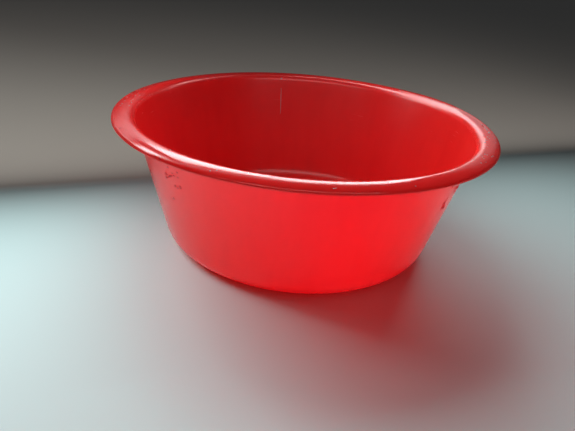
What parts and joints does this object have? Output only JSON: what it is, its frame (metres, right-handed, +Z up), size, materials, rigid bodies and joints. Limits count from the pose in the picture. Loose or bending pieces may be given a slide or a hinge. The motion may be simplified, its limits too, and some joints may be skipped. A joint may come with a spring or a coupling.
{
  "type": "washing bowl",
  "caption": "Round open washing bowl of thin translucent red plastic, with a straight tapered wall, a rounded heel, a raised base panel and a wide turned-over rim to lift it by.",
  "frame": {"origin": "on the bowl's axis, in the plane that it stands on", "axes": "+Z up along the bowl's axis; the bowl is round, so X and Y are any two directions square to it"},
  "size_m": [0.38, 0.38, 0.134],
  "materials": {
    "red_plastic": "smooth glossy translucent red polypropylene"
  },
  "bodies": {
    "root": {"base_panel": "red_plastic", "standing_ring": "red_plastic", "base_heel": "red_plastic", "side_wall": "red_plastic", "rolled_rim": "red_plastic", "gate_mark": "red_plastic"}
  },
  "joints": []
}
